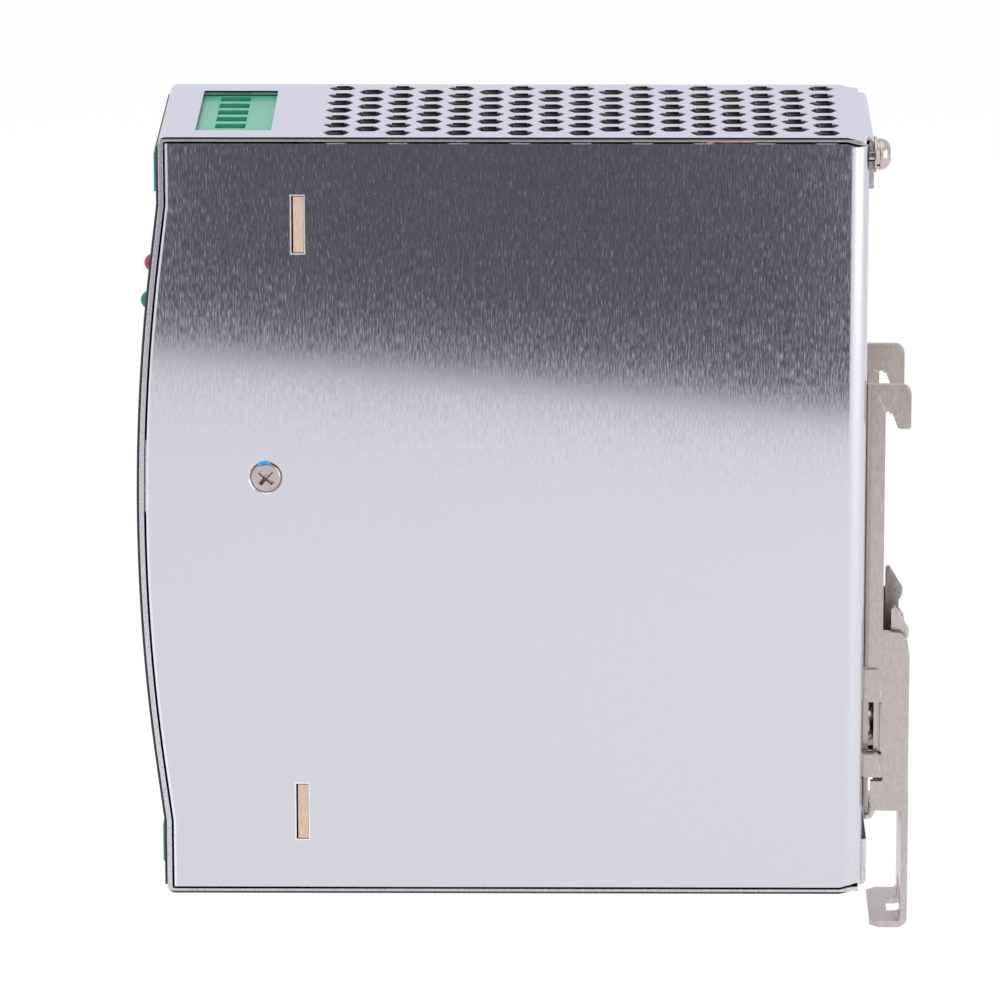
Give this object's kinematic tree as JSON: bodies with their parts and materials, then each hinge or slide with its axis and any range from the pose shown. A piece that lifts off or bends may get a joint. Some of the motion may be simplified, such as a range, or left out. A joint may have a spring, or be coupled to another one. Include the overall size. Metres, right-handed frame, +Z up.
{
  "type": "din rail power supply",
  "caption": "Narrow metal-cased power supply for a 35 mm DIN rail, with vented top and bottom, front screw terminals, status lamps and a sprung rail latch.",
  "frame": {"origin": "middle of the rail seat: the plane where the rail's face rests on the bracket, halfway between the rail's two edges", "axes": "+Z up as installed, +Y from the front panel towards the rail, +X along the rail"},
  "size_m": [0.04, 0.1243, 0.1345],
  "materials": {
    "case_side": "brushed, vertical grain",
    "case_cover": "smooth bright sheet",
    "label": "satin printed overlay",
    "clip_steel": "nickel plated",
    "spring_steel": "drawn wire",
    "screw_steel": "nickel plated",
    "terminal_green": "moulded",
    "contact_tin": "tinned",
    "clamp_steel": "zinc plated",
    "circuit_board": "solder mask",
    "nylon": "moulded",
    "insulation": "thin sheet",
    "led_red": "clear tinted",
    "led_green": "clear tinted",
    "black_plastic": "moulded",
    "blue_plastic": "moulded",
    "white_plastic": "moulded",
    "fuse_ceramic": "white tube, plated caps",
    "thermistor_black": "coated disc",
    "ferrite": "sintered",
    "copper_wire": "enamelled copper",
    "yellow_plastic": "moulded box",
    "blue_ceramic": "dipped disc",
    "epoxy_black": "moulded epoxy",
    "capacitor_sleeve": "shrink sleeve",
    "capacitor_brown": "shrink sleeve",
    "heatsink_aluminium": "mill finish",
    "winding_tape": "polyester tape"
  },
  "bodies": {
    "case": {"chassis": "case_side", "cover": "case_cover", "front_label": "label", "din_bracket": "clip_steel", "latch_spring": "spring_steel", "bracket_screws": "screw_steel", "rear_screws": "screw_steel", "rear_washers": "screw_steel", "side_screws": "screw_steel", "output_block": "terminal_green", "output_contacts": "contact_tin", "input_block": "terminal_green", "input_contacts": "contact_tin", "terminal_board": "circuit_board", "main_board": "circuit_board", "board_standoffs": "nylon", "insulating_sheet": "insulation", "red_led": "led_red", "green_led": "led_green", "led_spacers": "black_plastic", "trimmer_body": "blue_plastic", "fuse": "fuse_ceramic", "thermistor": "thermistor_black", "choke_core": "ferrite", "choke_winding": "copper_wire", "film_capacitors": "yellow_plastic", "y_capacitors": "blue_ceramic", "bridge_rectifier": "epoxy_black", "bulk_capacitors": "capacitor_sleeve", "power_transistors": "epoxy_black", "primary_heatsink": "heatsink_aluminium", "transformer_core": "ferrite", "transformer_winding": "winding_tape", "output_diodes": "epoxy_black", "secondary_heatsink": "heatsink_aluminium", "output_choke": "copper_wire", "output_capacitors": "capacitor_brown", "control_chips": "epoxy_black"},
    "latch": {"latch_slider": "clip_steel"},
    "trimmer": {"trimmer_rotor": "white_plastic"},
    "output_screw_1_body": {"output_screw_1": "screw_steel"},
    "output_clamp_1_body": {"output_clamp_1": "clamp_steel"},
    "output_screw_2_body": {"output_screw_2": "screw_steel"},
    "output_clamp_2_body": {"output_clamp_2": "clamp_steel"},
    "output_screw_3_body": {"output_screw_3": "screw_steel"},
    "output_clamp_3_body": {"output_clamp_3": "clamp_steel"},
    "output_screw_4_body": {"output_screw_4": "screw_steel"},
    "output_clamp_4_body": {"output_clamp_4": "clamp_steel"},
    "output_screw_5_body": {"output_screw_5": "screw_steel"},
    "output_clamp_5_body": {"output_clamp_5": "clamp_steel"},
    "output_screw_6_body": {"output_screw_6": "screw_steel"},
    "output_clamp_6_body": {"output_clamp_6": "clamp_steel"},
    "input_screw_1_body": {"input_screw_1": "screw_steel"},
    "input_clamp_1_body": {"input_clamp_1": "clamp_steel"},
    "input_screw_2_body": {"input_screw_2": "screw_steel"},
    "input_clamp_2_body": {"input_clamp_2": "clamp_steel"},
    "input_screw_3_body": {"input_screw_3": "screw_steel"},
    "input_clamp_3_body": {"input_clamp_3": "clamp_steel"}
  },
  "joints": [
    {"name": "latch_slide", "type": "slide", "parent": "case", "child": "latch", "axis": [0, 0, -1], "range_m": [0, 0.005], "stiffness_N_per_m": 900, "springref_m": -0.002, "deforming": ["latch_spring"]},
    {"name": "trimmer_turn", "type": "hinge", "parent": "case", "child": "trimmer", "pos_m": [-0.01, -0.104, 0.0385], "axis": [0, 1, 0], "range_deg": [-135, 135]},
    {"name": "output_screw_1_turn", "type": "hinge", "parent": "case", "child": "output_screw_1_body", "pos_m": [-0.0127, -0.11, 0.0572], "axis": [0, 1, 0], "range_deg": [0, 2500]},
    {"name": "output_clamp_1_slide", "type": "slide", "parent": "case", "child": "output_clamp_1_body", "axis": [0, -1, 0], "range_m": [0, 0.00345]},
    {"name": "output_screw_2_turn", "type": "hinge", "parent": "case", "child": "output_screw_2_body", "pos_m": [-0.00762, -0.11, 0.0572], "axis": [0, 1, 0], "range_deg": [0, 2500]},
    {"name": "output_clamp_2_slide", "type": "slide", "parent": "case", "child": "output_clamp_2_body", "axis": [0, -1, 0], "range_m": [0, 0.00345]},
    {"name": "output_screw_3_turn", "type": "hinge", "parent": "case", "child": "output_screw_3_body", "pos_m": [-0.00254, -0.11, 0.0572], "axis": [0, 1, 0], "range_deg": [0, 2500]},
    {"name": "output_clamp_3_slide", "type": "slide", "parent": "case", "child": "output_clamp_3_body", "axis": [0, -1, 0], "range_m": [0, 0.00345]},
    {"name": "output_screw_4_turn", "type": "hinge", "parent": "case", "child": "output_screw_4_body", "pos_m": [0.00254, -0.11, 0.0572], "axis": [0, 1, 0], "range_deg": [0, 2500]},
    {"name": "output_clamp_4_slide", "type": "slide", "parent": "case", "child": "output_clamp_4_body", "axis": [0, -1, 0], "range_m": [0, 0.00345]},
    {"name": "output_screw_5_turn", "type": "hinge", "parent": "case", "child": "output_screw_5_body", "pos_m": [0.00762, -0.11, 0.0572], "axis": [0, 1, 0], "range_deg": [0, 2500]},
    {"name": "output_clamp_5_slide", "type": "slide", "parent": "case", "child": "output_clamp_5_body", "axis": [0, -1, 0], "range_m": [0, 0.00345]},
    {"name": "output_screw_6_turn", "type": "hinge", "parent": "case", "child": "output_screw_6_body", "pos_m": [0.0127, -0.11, 0.0572], "axis": [0, 1, 0], "range_deg": [0, 2500]},
    {"name": "output_clamp_6_slide", "type": "slide", "parent": "case", "child": "output_clamp_6_body", "axis": [0, -1, 0], "range_m": [0, 0.00345]},
    {"name": "input_screw_1_turn", "type": "hinge", "parent": "case", "child": "input_screw_1_body", "pos_m": [-0.0095, -0.11, -0.0544], "axis": [0, 1, 0], "range_deg": [0, 2500]},
    {"name": "input_clamp_1_slide", "type": "slide", "parent": "case", "child": "input_clamp_1_body", "axis": [0, -1, 0], "range_m": [0, 0.00345]},
    {"name": "input_screw_2_turn", "type": "hinge", "parent": "case", "child": "input_screw_2_body", "pos_m": [0, -0.11, -0.0544], "axis": [0, 1, 0], "range_deg": [0, 2500]},
    {"name": "input_clamp_2_slide", "type": "slide", "parent": "case", "child": "input_clamp_2_body", "axis": [0, -1, 0], "range_m": [0, 0.00345]},
    {"name": "input_screw_3_turn", "type": "hinge", "parent": "case", "child": "input_screw_3_body", "pos_m": [0.0095, -0.11, -0.0544], "axis": [0, 1, 0], "range_deg": [0, 2500]},
    {"name": "input_clamp_3_slide", "type": "slide", "parent": "case", "child": "input_clamp_3_body", "axis": [0, -1, 0], "range_m": [0, 0.00345]}
  ],
  "couplings": [
    {"joint": "output_screw_1_turn", "follows": "output_clamp_1_slide", "rad_per_m": 12566},
    {"joint": "output_screw_2_turn", "follows": "output_clamp_2_slide", "rad_per_m": 12566},
    {"joint": "output_screw_3_turn", "follows": "output_clamp_3_slide", "rad_per_m": 12566},
    {"joint": "output_screw_4_turn", "follows": "output_clamp_4_slide", "rad_per_m": 12566},
    {"joint": "output_screw_5_turn", "follows": "output_clamp_5_slide", "rad_per_m": 12566},
    {"joint": "output_screw_6_turn", "follows": "output_clamp_6_slide", "rad_per_m": 12566},
    {"joint": "input_screw_1_turn", "follows": "input_clamp_1_slide", "rad_per_m": 12566},
    {"joint": "input_screw_2_turn", "follows": "input_clamp_2_slide", "rad_per_m": 12566},
    {"joint": "input_screw_3_turn", "follows": "input_clamp_3_slide", "rad_per_m": 12566}
  ]
}
